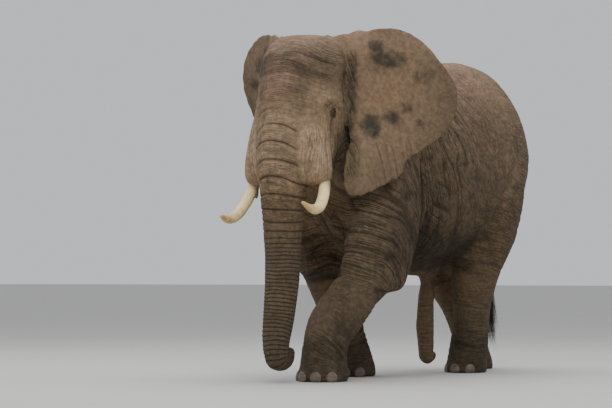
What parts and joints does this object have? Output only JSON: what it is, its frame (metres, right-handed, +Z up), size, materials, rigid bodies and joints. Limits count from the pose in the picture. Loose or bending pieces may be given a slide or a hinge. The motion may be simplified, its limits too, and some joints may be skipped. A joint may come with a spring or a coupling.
{
  "type": "elephant",
  "caption": "African bush elephant bull at a walk, still model: ears spread, trunk hanging with a curled tip, short upturned tusks, one foreleg reaching ahead.",
  "frame": {"origin": "on the ground under the middle of the model's box", "axes": "+Z up, -Y the way the animal faces, +X its left side"},
  "size_m": [2.4474, 4.4962, 3.3606],
  "materials": {
    "hide": "dry, deeply wrinkled grey-brown skin with reddish dust",
    "ivory": "worn cream ivory, yellower and stained to the tip",
    "eye": "wet dark brown",
    "hair": "coarse dark bristle"
  },
  "bodies": {
    "root": {"ear_left": "hide", "ear_right": "hide", "eye_left": "eye", "eye_right": "eye", "forefoot_left": "hide", "forefoot_right": "hide", "foreleg_left_lower": "hide", "foreleg_left_upper": "hide", "foreleg_right_lower": "hide", "foreleg_right_upper": "hide", "head": "hide", "hindfoot_left": "hide", "hindfoot_right": "hide", "hindleg_left_lower": "hide", "hindleg_left_upper": "hide", "hindleg_right_lower": "hide", "hindleg_right_upper": "hide", "lower_jaw": "hide", "neck": "hide", "penis": "hide", "tail": "hide", "tail_tuft": "hair", "torso": "hide", "trunk_1": "hide", "trunk_2": "hide", "trunk_3": "hide", "trunk_4": "hide", "tusk_left": "ivory", "tusk_right": "ivory"}
  },
  "joints": []
}
